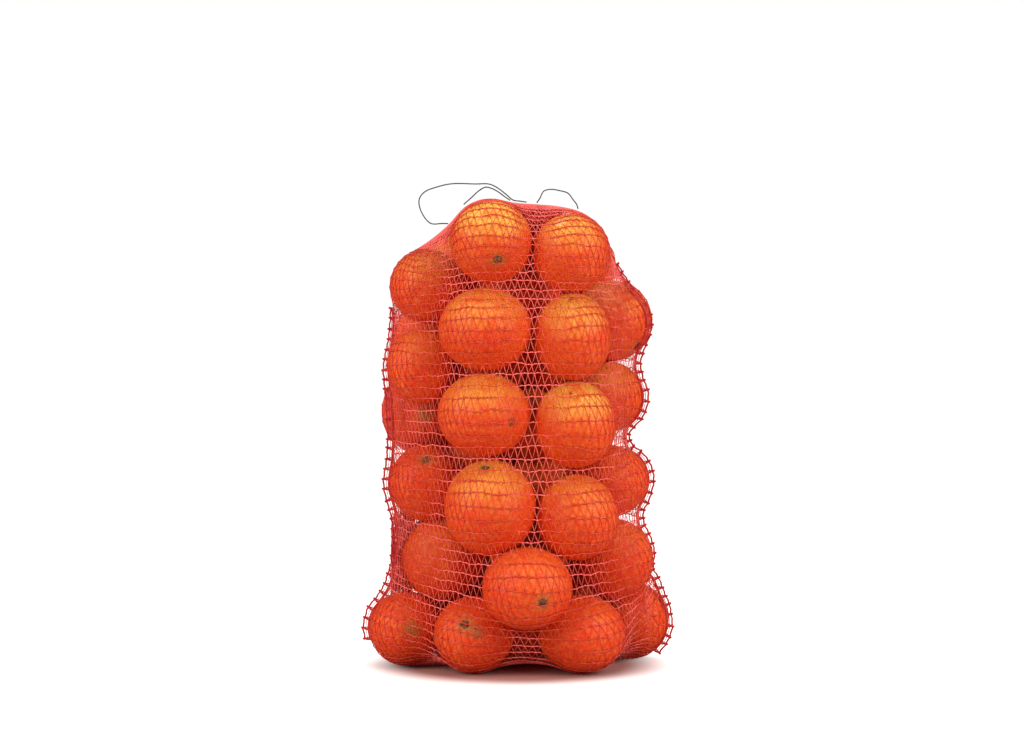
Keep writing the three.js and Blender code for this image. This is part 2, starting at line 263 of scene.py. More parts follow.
# Hollows of the peel: the depth as a share of the radius, then the middle and the reach in radians
STEM_HOLLOW = (0.050, 0, 0.15)
RIB_HOLLOW = (0.010, 0.26, 0.2)
FAR_HOLLOW = (0.030, 0, 0.11)
FAR_RING = (0.006, 0.3, 0.2)

# Colours of the peel and the yarn, and the studio's light
PEEL_DEEP = (0.75, 0.040, 0.004)
PEEL_BRIGHT = (0.79, 0.080, 0.006)
# The golden of the peel's speckles, also used for its painted highlight.
PEEL_GOLD_AND_HIGHLIGHT = (0.88, 0.55, 0.075)
PEEL_PIT = (0.50, 0.03, 0.004)
STEM_RING = (0.40, 0.18, 0.03)
STEM_DARK = (0.05, 0.035, 0.012)
STEM_RING_REACH = (0.004, 0.010)
STEM_DARK_REACH = (0.0022, 0.0042)
STEM_FRAYING = 0.005
MARK_FRAYING = 2.4
MARK_CORE = 0.35
PIT_DEPTH = 0.3
SPECKLE_SHARE = 0.2
PEEL_ROUGHNESS = 0.46
MARK_ROUGHNESS = 0.3
# Painted highlight: where the peel faces this way, up and forward into the light, it is coloured golden,
# from none at the first share to full at the second.
HIGHLIGHT_FACING = (0.0, -0.42, 0.9075)
HIGHLIGHT_FROM = 0.35
HIGHLIGHT_FULL = 0.92
HIDDEN_TONE_AND_LIGHT = 0.4
# The net yarn: deep red where it lies on the peel, a painted shade, and pale pink where it hangs before a
# gap, a painted light.
NET_RED = (0.60, 0.045, 0.018)
NET_PINK_LIT = (0.90, 0.15, 0.125)
SEAM_RED = (0.50, 0.012, 0.028)
SKY_LIGHT = 0.27
STUDIO_LIGHTS = [
    ("left_light", (-1.2, -0.8, 0.8), 1.0, 19.5),
    ("right_light", (1.2, -0.75, 0.8), 1.0, 20.5),
    ("top_light", (0, -0.2, 1.6), 1.0, 9.5),
]
FLOOR_HALF = 12
# The floor near the sack: the colour, shape and reach of a painted brown shadow, where the floor's white
# glow is cut away.
FLOOR_SHADE = (0.43, 0.20, 0.165)
FLOOR_GLOW_SHAPE = (0.8, 1, 1)
FLOOR_GLOW_FROM = 0.066
FLOOR_GLOW_TO = 0.116

# Curves and meshes


def between(start, end, low, high, at):
    return start + (end - start) * (at - low) / (high - low)


def curve_point(points, knots, at):
    """A point of the centripetal curve whose middle stretch runs from the second point to the third."""
    a = [between(points[i], points[i + 1], knots[i], knots[i + 1], at) for i in range(3)]
    b = [between(a[i], a[i + 1], knots[i], knots[i + 2], at) for i in range(2)]
    return between(b[0], b[1], knots[1], knots[2], at)


def smooth_line(points, count):
    """The centripetal curve through the points, sampled evenly along its length."""
    line = np.array(points, float)
    line = np.vstack([2 * line[0] - line[1], line, 2 * line[-1] - line[-2]])
    gaps = np.linalg.norm(np.diff(line, axis=0), axis=1) ** 0.5
    knots = np.concatenate([[0], np.cumsum(gaps)])
    dense = []
    for index in range(len(line) - 3):
        for at in np.linspace(knots[index + 1], knots[index + 2], SPLINE_STEPS, endpoint=False):
            dense.append(curve_point(line[index:index + 4], knots[index:index + 4], at))
    dense = np.array([*dense, line[-2]])
    run = np.concatenate([[0], np.cumsum(np.linalg.norm(np.diff(dense, axis=0), axis=1))])
    places = np.linspace(0, run[-1], count)
    return np.stack([np.interp(places, run, dense[:, axis]) for axis in range(3)], axis=1)


def unit(vectors):
    return vectors / np.maximum(np.linalg.norm(vectors, axis=-1, keepdims=True), 1e-12)


def mesh_piece(name, vertices, face_groups, slot, material):
    """A smooth piece in metres from vertices in millimetres and faces in groups of one size each."""
    mesh = bpy.data.meshes.new(name)
    mesh.vertices.add(len(vertices))
    mesh.vertices.foreach_set("co", (np.asarray(vertices, float) * MM).ravel())
    sizes = np.concatenate([np.full(len(group), group.shape[1]) for group in face_groups])
    corners = np.concatenate([group.ravel() for group in face_groups]).astype(np.int32)
    mesh.loops.add(len(corners))
    mesh.loops.foreach_set("vertex_index", corners)
    mesh.polygons.add(len(sizes))
    starts = np.concatenate([[0], np.cumsum(sizes)[:-1]]).astype(np.int32)
    mesh.polygons.foreach_set("loop_start", starts)
    mesh.update(calc_edges=True)
    mesh.shade_smooth()
    mesh.materials.append(material)
    piece = bpy.data.objects.new(name, mesh)
    bpy.context.scene.collection.objects.link(piece)
    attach(piece, "root")
    return piece


def add_attribute(mesh, name, kind, values):
    attribute = mesh.attributes.new(name, kind, "POINT")
    field = "vector" if kind == "FLOAT_VECTOR" else "value"
    attribute.data.foreach_set(field, np.asarray(values, np.float32).ravel())


def any_turn(draw, size=None):
    """Where a wave starts."""
    return draw.uniform(0, 6, size)


def ring_walls(index):
    """The faces between rings of vertices, from the table of their numbers."""
    low, high = index[:-1], index[1:]
    return np.stack([low, high, np.roll(high, -1, 1), np.roll(low, -1, 1)], -1).reshape(-1, 4)


def tubes(paths, normals, radii, sides, closed=False):
    """Vertices and face groups of many tubes: paths and normals are (tube, step, 3), radii broadcast."""
    if closed:
        along = np.roll(paths, -1, axis=1) - np.roll(paths, 1, axis=1)
    else:
        along = np.gradient(paths, axis=1)
    along = unit(along)
    across = unit(np.cross(along, normals))
    up = np.cross(across, along)
    angle = np.arange(sides) * 2 * math.pi / sides
    ring = up[:, :, None] * np.cos(angle)[:, None] + across[:, :, None] * np.sin(angle)[:, None]
    radii = np.broadcast_to(radii, paths.shape[:2])
    vertices = paths[:, :, None] + ring * radii[:, :, None, None]
    count, steps = paths.shape[:2]
    index = np.arange(count * steps * sides).reshape(count, steps, sides)
    here = index if closed else index[:, :-1]
    ahead = np.roll(index, -1, axis=1) if closed else index[:, 1:]
    turned = np.roll(here, -1, axis=2)
    turned_ahead = np.roll(ahead, -1, axis=2)
    walls = np.stack([here, turned, turned_ahead, ahead], axis=-1).reshape(-1, 4)
    groups = [walls]
    if not closed:
        groups += [index[:, 0, ::-1], index[:, -1]]
    return vertices.reshape(-1, 3), groups


def joined(parts):
    """One set of vertices and face groups from several."""
    vertices, groups, start = [], [], 0
    for points, faces in parts:
        vertices.append(points)
        groups += [group + start for group in faces]
        start += len(points)
    return np.concatenate(vertices), groups


# The fruit


def make_fruit(at, half, **shows):
    x, y, z = at
    wide, high = half
    return dict(x=x, y=y, z=max(z, high + FLOOR_GAP), wide=wide, high=high,
                radius=(2 * wide + high) / 3, shows=shows)


def keep_apart(first, second, share):
    """Moves two fruits apart where they cross; the share is how much of the way the second one goes."""
    away = np.array([second[k] - first[k] for k in "xyz"])
    distance = math.sqrt(float(away @ away))
    overlap = first["radius"] + second["radius"] - distance
    if overlap <= 0:
        return
    move = away * (overlap / distance)
    for k, step in zip("xyz", move):
        second[k] += step * share
        first[k] -= step * (1 - share)


def pack_fruit():
    in_sight = [make_fruit(**fruit) for fruit in FRUIT_IN_SIGHT]
    behind = []
    for index, place in enumerate(FRUIT_BEHIND):
        radius = BEHIND_RADIUS + BEHIND_SPREAD * math.sin(5 * index + 1)
        behind.append(make_fruit(place, (radius, radius - BEHIND_FLATNESS), name=f"behind_{index + 1}"))
    for _ in range(SETTLING_PASSES):
        for index, fruit in enumerate(behind):
            fruit["y"] -= SETTLING_FORWARD
            fruit["z"] -= SETTLING_DOWN
            for fixed in in_sight:
                keep_apart(fixed, fruit, 1)
            for other in behind[index + 1:]:
                keep_apart(fruit, other, 0.5)
            fruit["z"] = max(fruit["z"], fruit["high"] + FLOOR_GAP)
    for fruit in behind:
        fruit["wide"] += PRESSED_TOGETHER
        fruit["high"] += PRESSED_TOGETHER
        fruit["z"] = max(fruit["z"], fruit["high"] + FLOOR_GAP)
    return in_sight + behind


def push_out(points, fruits, clearance):
    """Moves points that have sunk into a fruit out to its skin, in place."""
    flat = points.reshape(-1, 3)
    for fruit in fruits:
        centre = np.array([fruit["x"], fruit["y"], fruit["z"]])
        reach = np.array([fruit["wide"], fruit["wide"], fruit["high"]]) + clearance
        away = flat - centre
        depth = np.sqrt(((away / reach) ** 2).sum(axis=1))
        inside = depth < 1
        flat[inside] = centre + away[inside] / depth[inside, None]
    np.maximum(flat[:, 2], clearance, out=flat[:, 2])


def front_place(fruit, spot):
    """The way from the fruit's middle to a spot on its front."""
    across, up = spot[0] / fruit["wide"], spot[1] / fruit["high"]
    return np.array([across, -math.sqrt(max(LEAST_FORWARD, 1 - across ** 2 - up ** 2)), up])


def stem_direction(fruit, draw):
    """Where the fruit's stem end points: as seen in the photograph, or else up or away from the front."""
    seen = fruit["shows"].get("stem")
    if seen:
        return front_place(fruit, seen)
    turned = draw.normal(size=3)
    turned[1] = abs(turned[1]) + 0.5
    return unit(turned)


def fruit_frame(direction):
    """Axes whose third one is the direction."""
    side = unit(np.cross(direction, [0.3, 0.2, 0.93]))
    return np.stack([side, np.cross(direction, side), direction], axis=1)


def hollow(angle, depth, middle, reach):
    return depth * np.exp(-((angle - middle) / reach) ** 2)


def peel_shape(polar, turn, draw):
    """The share of the full radius at each place: only ever inward, so that the yarns stay on the peel."""
    ribs = 0.5 + 0.5 * np.cos(RIBS * turn + any_turn(draw))
    far = math.pi - polar
    near_end = hollow(polar, *STEM_HOLLOW) + ribs * hollow(polar, *RIB_HOLLOW)
    return 1 - near_end - hollow(far, *FAR_HOLLOW) - hollow(far, *FAR_RING)


def lumps(directions, draw):
    """Slow dents over a fruit, from 0 to 1."""
    total = np.zeros(len(directions))
    for _ in range(LUMP_WAVES):
        total += np.sin(directions @ draw.normal(size=3) * LUMP_TURNS + any_turn(draw))
    return 0.5 + 0.5 * total / LUMP_WAVES


def make_orange(fruit, number, material):
    draw = np.random.default_rng(SEED + number)
    direction = stem_direction(fruit, draw)
    axes = fruit_frame(direction)
    share = np.linspace(0, 1, PEEL_RINGS + 1)[1:-1]
    polar = math.pi * (share - RING_CROWDING * np.sin(2 * math.pi * share))
    turn = np.arange(PEEL_SEGMENTS) * 2 * math.pi / PEEL_SEGMENTS
    polar, turn = (a.ravel() for a in np.meshgrid(polar, turn, indexing="ij"))
    polar = np.concatenate([polar, [0, math.pi]])
    turn = np.concatenate([turn, [0, 0]])
    local = np.stack([np.sin(polar) * np.cos(turn), np.sin(polar) * np.sin(turn), np.cos(polar)], axis=1)
    world = local @ axes.T
    reach = np.array([fruit["wide"], fruit["wide"], fruit["high"]])
    depth = peel_shape(polar, turn, draw) - LUMP_DEPTH * lumps(world, draw)
    centre = np.array([fruit["x"], fruit["y"], fruit["z"]])
    vertices = centre + world * reach * depth[:, None]
    rings = PEEL_RINGS - 1
    index = np.arange(rings * PEEL_SEGMENTS).reshape(rings, PEEL_SEGMENTS)
    top, base = len(vertices) - 2, len(vertices) - 1
    crown = np.stack([np.full(PEEL_SEGMENTS, top), index[0], np.roll(index[0], -1)], -1)
    foot = np.stack([np.full(PEEL_SEGMENTS, base), np.roll(index[-1], -1), index[-1]], -1)
    name = "orange_" + fruit["shows"]["name"]
    piece = mesh_piece(name, vertices, [ring_walls(index), crown, foot], "orange_peel", material)
    stem_at = centre + direction * reach * peel_shape(np.zeros(1), np.zeros(1), draw)[0]
    mark_at = mark_place(fruit, centre, reach)
    skin = fruit["shows"].get("skin", BROWN)
    add_attribute(piece.data, "from_stem", "FLOAT_VECTOR", (vertices - stem_at) * MM)
    add_attribute(piece.data, "from_mark", "FLOAT_VECTOR", (vertices - mark_at) * MM)
    spread = fruit["shows"].get("spread", 1) * MM
    add_attribute(piece.data, "mark_reach", "FLOAT", np.full(len(vertices), spread))
    add_attribute(piece.data, "mark_skin", "FLOAT_VECTOR", np.tile(skin, (len(vertices), 1)))
    # Partly the fruit's own tone, partly painted light; the fruit behind get a random one.
    tone = fruit["shows"].get("tone", float(draw.uniform(0, HIDDEN_TONE_AND_LIGHT)))
    add_attribute(piece.data, "tone", "FLOAT", np.full(len(vertices), tone))
    # Painted highlight: the peel facing up and forward, where the lamps light it, turns golden, scaled by
    # tone.
    painted_highlight = np.clip((world @ HIGHLIGHT_FACING - HIGHLIGHT_FROM) / (HIGHLIGHT_FULL - HIGHLIGHT_FROM), 0, 1)
    add_attribute(piece.data, "painted_highlight", "FLOAT", np.minimum(painted_highlight * tone, 1))
    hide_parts("net_of_oranges")
    return stem_button(stem_at, axes, draw)


def mark_place(fruit, centre, reach):
    """The middle of a fruit's scar on its front, or far off where it has none."""
    mark = fruit["shows"].get("mark")
    if not mark:
        return centre + np.array([0, 0, 10 * fruit["high"]])
    return centre + reach * front_place(fruit, mark)


def stem_button(at, axes, draw):
    """A small star of dry sepals round a round stub, sunk in the dimple of the peel."""
    turn = np.arange(BUTTON_SEGMENTS) * 2 * math.pi / BUTTON_SEGMENTS
    lobes = 0.5 + 0.5 * np.abs(np.cos(BUTTON_SEPALS / 2 * turn + draw.uniform(0, 3))) ** 2
    radius = BUTTON_RADIUS * draw.uniform(*BUTTON_SPREAD)
    rings = BUTTON_RINGS[:, None]
    reach = radius * rings * np.where(rings > BUTTON_STUB, lobes, 1)
    up = np.broadcast_to(BUTTON_HEIGHTS[:, None], reach.shape)
    local = np.stack([reach * np.cos(turn), reach * np.sin(turn), up], -1)
    vertices = at + local.reshape(-1, 3) @ axes.T
    index = np.arange(local.shape[0] * BUTTON_SEGMENTS).reshape(-1, BUTTON_SEGMENTS)
    return vertices, [ring_walls(index), index[-1:, ::-1].copy(), index[:1].copy()]


# The netting


def along_seam(columns):
    """How far along a shut row each column lies, from the left end to the right."""
    column = np.arange(columns)
    front = columns // 2
    return np.where(column <= front, column, columns - column)


def shut_row(points, columns):
    """A shut row is two edges side by side, the front one and the back one, that meet at its ends."""
    line = smooth_line(points, columns // 2 + 1)[along_seam(columns)]
    column = np.arange(columns)
    side = np.where(column < columns // 2, -1.0, 1.0)
    side[[0, columns // 2]] = 0
    line[:, 1] += side * HEM_THICKNESS / 2
    return line


def slack_net(rows, columns):
    """The slack sack: rows from the bottom seam over the floor, up the sides and in to the mouth."""
    path = SLACK_HALF_DEPTH + SLACK_HEIGHT + SLACK_ROOF
    along = np.arange(rows + 1) / rows * path
    on_floor = np.minimum(along / SLACK_HALF_DEPTH, 1)[:, None]
    on_roof = np.minimum((path - along) / SLACK_ROOF, 1)[:, None]
    angle = np.arange(columns) / columns * 2 * math.pi
    narrowing = SLACK_MOUTH_SHARE + (1 - SLACK_MOUTH_SHARE) * on_roof
    net = np.zeros((rows + 1, columns, 3))
    net[:, :, 0] = -np.cos(angle) * SLACK_HALF_WIDTH * narrowing
    net[:, :, 1] = -np.sin(angle) * SLACK_HALF_DEPTH * on_floor * on_roof
    net[:, :, 2] = np.clip(along - SLACK_HALF_DEPTH, 0, SLACK_HEIGHT)[:, None]
    net[0] = shut_row(BOTTOM_SEAM, columns)
    net[-1] = shut_row(MOUTH_HEM, columns)
    return net


def seam_lift(up):
    """How far the right seam's rows are drawn up at a height, so that they crowd together above it."""
    return GATHER_LIFT * np.exp(-(((up - GATHER_UP) / GATHER_REACH) ** 2))


def pull_tight(net, fruits, passes, gathered):
    """Draws each point to its neighbours, more round the sack than upward, and off the fruit."""
    rows, columns = net.shape[0] - 1, net.shape[1]
    right = columns // 2
    row = np.arange(1, rows)[:, None]
    from_end = np.minimum(np.minimum(row, rows - row), EASED_ROWS) / EASED_ROWS
    round_pull = np.repeat(SEAM_PULL_ROUND + (PULL_ROUND - SEAM_PULL_ROUND) * from_end, columns, axis=1)
    round_pull[:, 0] = (SEAM_PULL_ROUND + (LEFT_SEAM_PULL_ROUND - SEAM_PULL_ROUND) * from_end)[:, 0]
    round_pull[:, right] = (SEAM_PULL_ROUND + (RIGHT_SEAM_PULL_ROUND - SEAM_PULL_ROUND) * from_end)[:, 0]
    round_pull = round_pull[:, :, None]
    seams = [0, right]
    height = row / rows
    seam_back = net[0, seams, 1] * (1 - height) + net[-1, seams, 1] * height
    seam_up = net[1:-1, right, 2] + seam_lift(net[1:-1, right, 2])
    for _ in range(passes):
        beside = (np.roll(net, 1, axis=1) + np.roll(net, -1, axis=1))[1:-1] / 2
        above = (net[2:] + net[:-2]) / 2
        inner = net[1:-1] + PULL * (beside * round_pull + above * (1 - round_pull) - net[1:-1])
        inner[:, seams, 1] += SEAM_HOLD * (seam_back - inner[:, seams, 1])
        notch = NOTCH_HOLD * np.exp(-(((inner[:, right, 2] - NOTCH_UP) / NOTCH_REACH) ** 2))
        inner[:, right, 0] += notch * (NOTCH_ACROSS - inner[:, right, 0])
        if gathered:
            inner[:, right, 2] += SEAM_HOLD * (seam_up - inner[:, right, 2])
        push_out(inner, fruits, NET_CLEARANCE)
        net[1:-1] = inner
    return net


def wandering(net, draw):
    """The rows and columns of real netting wander a little; this slides them over the fruit."""
    rows, columns = net.shape[:2]
    along = np.arange(columns)[None] / columns * 2 * math.pi
    up = np.arange(rows)[:, None] / rows * 2 * math.pi
    shift = np.zeros((2, rows, columns))
    for wave in range(WANDER_WAVES):
        turns = WANDER_TURNS + WANDER_MORE_TURNS * wave
        share = (1 + wave) ** -WANDER_FADE
        for part in shift:
            turned = any_turn(draw) + draw.uniform(*WANDER_SKEW) * np.sin(up * 3 + wave)
            part += share * np.sin(turns * along + turned)
    shift[:, [0, -1]] = 0
    shift[:, :, [0, columns // 2]] = 0
    round_way = unit(np.roll(net, -1, axis=1) - np.roll(net, 1, axis=1))
    up_way = unit(np.gradient(net, axis=0))
    slid_up = up_way * shift[0, :, :, None] * ROW_WANDER
    return net + slid_up + round_way * shift[1, :, :, None] * COLUMN_WANDER


def refined(net):
    """The same net with twice the rows and columns."""
    rows, columns = net.shape[0] - 1, net.shape[1]
    wide = np.empty((rows + 1, 2 * columns, 3))
    wide[:, ::2] = net
    wide[:, 1::2] = (net + np.roll(net, -1, axis=1)) / 2
    fine = np.empty((2 * rows + 1, 2 * columns, 3))
    fine[::2] = wide
    fine[1::2] = (wide[:-1] + wide[1:]) / 2
    fine[0] = shut_row(BOTTOM_SEAM, 2 * columns)
    fine[-1] = shut_row(MOUTH_HEM, 2 * columns)
    return fine


def depth_behind(vertices, centre, reach):
    """How far behind the netting a fruit lies, on the level way in from the sack's front or back."""
    way = np.zeros_like(vertices)
    way[:, 1] = -np.sign(vertices[:, 1]) / reach[1]
    start = (vertices - centre) / reach
    along = np.maximum((way ** 2).sum(axis=1), 1e-9)
    beside = (start * way).sum(axis=1)
    room = beside ** 2 - along * ((start ** 2).sum(axis=1) - 1)
    depth = (-beside - np.sqrt(np.maximum(room, 0))) / along
    return np.where((room > 0) & (depth > -reach[0]), depth, DEEP_AT)


# This share sets the net yarn's painted light and shade.
def hanging_free(vertices, fruits):
    """0 where the netting lies on a fruit or close before one, 1 where it hangs before a deep gap."""
    clear, deep = np.full(len(vertices), FREE_AT), np.full(len(vertices), DEEP_AT)
    for fruit in fruits:
        centre = np.array([fruit["x"], fruit["y"], fruit["z"]])
        reach = np.array([fruit["wide"], fruit["wide"], fruit["high"]])
        away = np.sqrt((((vertices - centre) / reach) ** 2).sum(axis=1))
        clear = np.minimum(clear, (away - 1) * fruit["radius"])
        deep = np.minimum(deep, depth_behind(vertices, centre, reach))
    return np.clip(clear / FREE_AT, 0, 1) * np.clip(deep / DEEP_AT, 0, 1) ** 2


def net_normals(net):
    across = np.roll(net, -1, axis=1) - np.roll(net, 1, axis=1)
    normals = unit(np.cross(across, np.gradient(net, axis=0)))
    normals[0] = normals[1]
    normals[-1] = normals[-2]
    return normals


def chain_rows(net, normals, rows):
    """Closed rows of knitted chain: a knot where a zigzag yarn joins and a thinner loop in between."""
    up = unit(np.gradient(net, axis=0))[rows]
    places = net[rows].copy()
    column = np.arange(net.shape[1])
    parity = np.where((column[None] + np.array(rows)[:, None]) % 2 == 0, 1.0, -1.0)
    places += up * (parity * CHAIN_WAVE)[:, :, None]
    paths = np.empty((len(rows), 2 * net.shape[1], 3))
    paths[:, ::2] = places
    paths[:, 1::2] = (places + np.roll(places, -1, axis=1)) / 2
    facing = np.repeat(normals[rows], 2, axis=1)
    radii = np.tile([KNOT_RADIUS, CHAIN_RADIUS], net.shape[1])
    return tubes(paths, facing, radii, sides=5, closed=True)


def zigzag_yarns(net, normals, fruits, rows, draw):
    """The yarns between two chain rows: thick ones that slant one way and thin ones that slant back."""
    parts = []
    columns = net.shape[1]
    shares = np.linspace(0, 1, YARN_STEPS)[None, :, None]
    for row in rows:
        first = np.arange(row % 2, columns, 2)
        for lean, radius in ((1, BRIGHT_YARN_RADIUS), (-1, DIM_YARN_RADIUS)):
            low = net[row, (first + lean) % columns][:, None]
            high = net[row + 1, first][:, None]
            paths = high * (1 - shares) + low * shares
            side = unit(net[row, (first + 1) % columns] - net[row, (first - 1) % columns])[:, None]
            bow = draw.normal(scale=YARN_BOW, size=(len(first), 1, 1)) * np.sin(math.pi * shares)
            paths = paths + side * bow
            push_out(paths, fruits, radius + YARN_CLEARANCE)
            facing = np.repeat(normals[row, first][:, None], YARN_STEPS, axis=1)
            parts.append(tubes(paths, facing, radius, sides=4))
    return joined(parts)


def seam_path(net, column, reach):
    """The netting's seam line and, for each place on it, the way out of the sack and the way along."""
    whole = smooth_line(net[1:, column], LINE_SAMPLES)
    length = np.linalg.norm(np.diff(whole, axis=0), axis=1).sum() * (reach[1] - reach[0])
    places = np.linspace(reach[0], reach[1], int(length / RUNG_SPACING) + 1) * (len(whole) - 1)
    line = np.stack([np.interp(places, np.arange(len(whole)), whole[:, axis]) for axis in range(3)], axis=1)
    along = unit(np.gradient(line, axis=0))
    side = np.sign(net[1, column, 0])
    out = unit(np.stack([side * along[:, 2], np.zeros(len(line)), -side * along[:, 0]], axis=1))
    return line, out, along


def seam_ladder(net, column, reach, width, draw):
    """A side seam: rungs of yarn standing out, a knot at each tip and rails of yarn along it."""
    line, out, along = seam_path(net, column, reach)
    share = np.linspace(0, 1, len(line))
    narrowing = np.clip((share - NARROW_FROM) / (1 - NARROW_FROM), 0, 1)
    rung = (width + (SEAM_TOP_WIDTH - width) * narrowing) * draw.uniform(*RUNG_LENGTHS, len(line))
    skew = draw.normal(scale=RUNG_SKEW, size=(len(line), 1))
    sway = draw.normal(scale=RUNG_SWAY, size=(len(line), 1))
    tips = line + out * rung[:, None] + along * skew + np.array([0, 1, 0]) * sway
    tips[:, 2] = np.maximum(tips[:, 2], 1)
    facing = np.cross(along, out)[:, None]
    steps = np.linspace(0, 1, RUNG_STEPS)[None, :, None]
    parts = []
    for spread in RUNG_SPREAD:
        foot = line + along * spread - out * RUNG_ROOT
        rungs = foot[:, None] * (1 - steps) + tips[:, None] * steps
        rungs = rungs + along[:, None] * np.sin(math.pi * steps) * spread * RUNG_BOW
        parts.append(tubes(rungs, np.repeat(facing, RUNG_STEPS, axis=1), RUNG_RADIUS, sides=5))
    knot = np.linspace(-1, 1, SEAM_KNOT_STEPS)
    lean = (out + along * 0.5)[:, None] * SEAM_KNOT_HALF_LENGTH
    ball = tips[:, None] + lean * knot[None, :, None]
    round_knot = SEAM_KNOT_RADIUS * np.sqrt(np.maximum(1 - knot ** 2, SEAM_KNOT_TIP))
    parts.append(tubes(ball, np.repeat(facing, SEAM_KNOT_STEPS, axis=1), round_knot[None], sides=6))
    beads = RAIL_BEADS * len(line)
    outward = smooth_line(line + out, beads) - smooth_line(line, beads)
    for reach_out, radius in SEAM_RAILS:
        sag = OUTER_RAIL_SAG if reach_out > 0.5 else INNER_RAIL_SAG
        sag = np.where(np.arange(beads) % RAIL_BEADS == 0, 0, sag)
        rail = smooth_line(line + (tips - line) * reach_out, beads) - outward * sag[:, None]
        rail[:, 1] += RAIL_SWAY * np.sin(np.arange(beads) * 2.1)
        parts.append(tubes(rail[None], np.tile([0, 1.0, 0], (1, beads, 1)), radius, sides=5))
    return joined(parts)


def folds(start, end, depth, strands, feather, draw):
    """Loose folded netting: wavy strands between two lines, a few yarns deep, crossed by chain rows."""
    spots = draw.uniform(0, 1, strands)
    back = draw.uniform(0, depth, strands)
    low, high = draw.uniform(0, feather, strands), 1 - draw.uniform(0, feather, strands)
    steps = np.linspace(low, high, FOLD_STEPS, axis=1)
    first, last = smooth_line(start, FOLD_SAMPLES), smooth_line(end, FOLD_SAMPLES)
    tops = first[(spots * (FOLD_SAMPLES - 1)).astype(int)]
    spots = np.clip(spots + draw.normal(scale=FOLD_SWERVE, size=strands), 0, 1)
    feet = last[(spots * (FOLD_SAMPLES - 1)).astype(int)]
    paths = tops[:, None] * (1 - steps[..., None]) + feet[:, None] * steps[..., None]
    paths[..., 1] += back[:, None]
    turn = any_turn(draw, (strands, 1))
    paths[..., 0] += FOLD_WAVE * np.sin(steps * draw.uniform(*FOLD_WAVES, (strands, 1)) + turn)
    paths[..., 1] += FOLD_WAVE * np.cos(steps * draw.uniform(*FOLD_WAVES, (strands, 1)) + turn)
    facing = np.broadcast_to([0.1, -1.0, 0.05], paths.shape)
    parts = [tubes(paths, facing, FOLD_RADIUS, sides=4)]
    along = np.arange(FOLD_CHAIN_STEPS) * FOLD_CHAIN_WAVE
    for layer in np.linspace(0, depth, FOLD_LAYERS):
        for share in (np.arange(FOLD_CHAINS) + draw.uniform(0, 1)) / FOLD_CHAINS:
            row = smooth_line(np.array(start) * (1 - share) + np.array(end) * share, FOLD_CHAIN_STEPS)
            row[:, 1] += layer
            row[:, 2] += FOLD_WAVE * np.sin(along + any_turn(draw))
            facing = np.broadcast_to([0.0, -1.0, 0.1], (1, FOLD_CHAIN_STEPS, 3))
            parts.append(tubes(row[None], facing, FOLD_CHAIN_RADIUS, sides=4))
    return joined(parts)


def mouth_hem(net, normals):
    """The hem round the mouth: close rows of chain and the thick edge that the string is threaded in."""
    parts = []
    rim, below = net[-1], net[-2]
    for share in HEM_ROWS:
        row = rim + (below - rim) * share + normals[-2] * HEM_LIFT
        parts.append(tubes(row[None], normals[-2][None], HEM_YARN_RADIUS, sides=5, closed=True))
    parts.append(tubes(rim[None], normals[-2][None], HEM_EDGE_RADIUS, sides=8, closed=True))
    return joined(parts)


# The drawstring


def drawstring(name, points, material):
    """A loop of stiff three-ply twine along its route."""
    length = np.linalg.norm(np.diff(smooth_line(points, LINE_SAMPLES), axis=0), axis=1).sum()
    steps = int(length / STRING_STEP) + 1
    path = smooth_line(points, steps)
    along = unit(np.gradient(path, axis=0))
    across = unit(np.cross(along, [0.05, 1.0, 0.1]))
    up = np.cross(across, along)
    angle = np.arange(STRING_SIDES) * 2 * math.pi / STRING_SIDES
    run = np.arange(steps)[:, None] * STRING_STEP
    plies = np.cos(STRING_PLIES * (angle[None] - 2 * math.pi * run / STRING_LAY))
    radii = STRING_DIAMETER / 2 * (1 - STRING_PLY_DEPTH + STRING_PLY_DEPTH * plies)
    ring = up[:, None] * np.cos(angle)[None, :, None] + across[:, None] * np.sin(angle)[None, :, None]
    vertices = (path[:, None] + ring * radii[:, :, None]).reshape(-1, 3)
    index = np.arange(steps * STRING_SIDES).reshape(steps, STRING_SIDES)
    walls = ring_walls(index)[:, [0, 3, 2, 1]]
    groups = [walls, index[:1, ::-1].copy(), index[-1:].copy()]
    piece = mesh_piece(name + "_twine", vertices, groups, "drawstring", material)
    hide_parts(name)


# Finishes


def node_group(name, inputs, outputs):
    group = bpy.data.node_groups.new(name, "ShaderNodeTree")
    for socket, kind, value in inputs:
        made = group.interface.new_socket(socket, in_out="INPUT", socket_type=kind)
        if value is not None:
            made.default_value = value
    for socket, kind in outputs:
        group.interface.new_socket(socket, in_out="OUTPUT", socket_type=kind)
    start = group.nodes.new("NodeGroupInput")
    end = group.nodes.new("NodeGroupOutput")
    return group, start, end


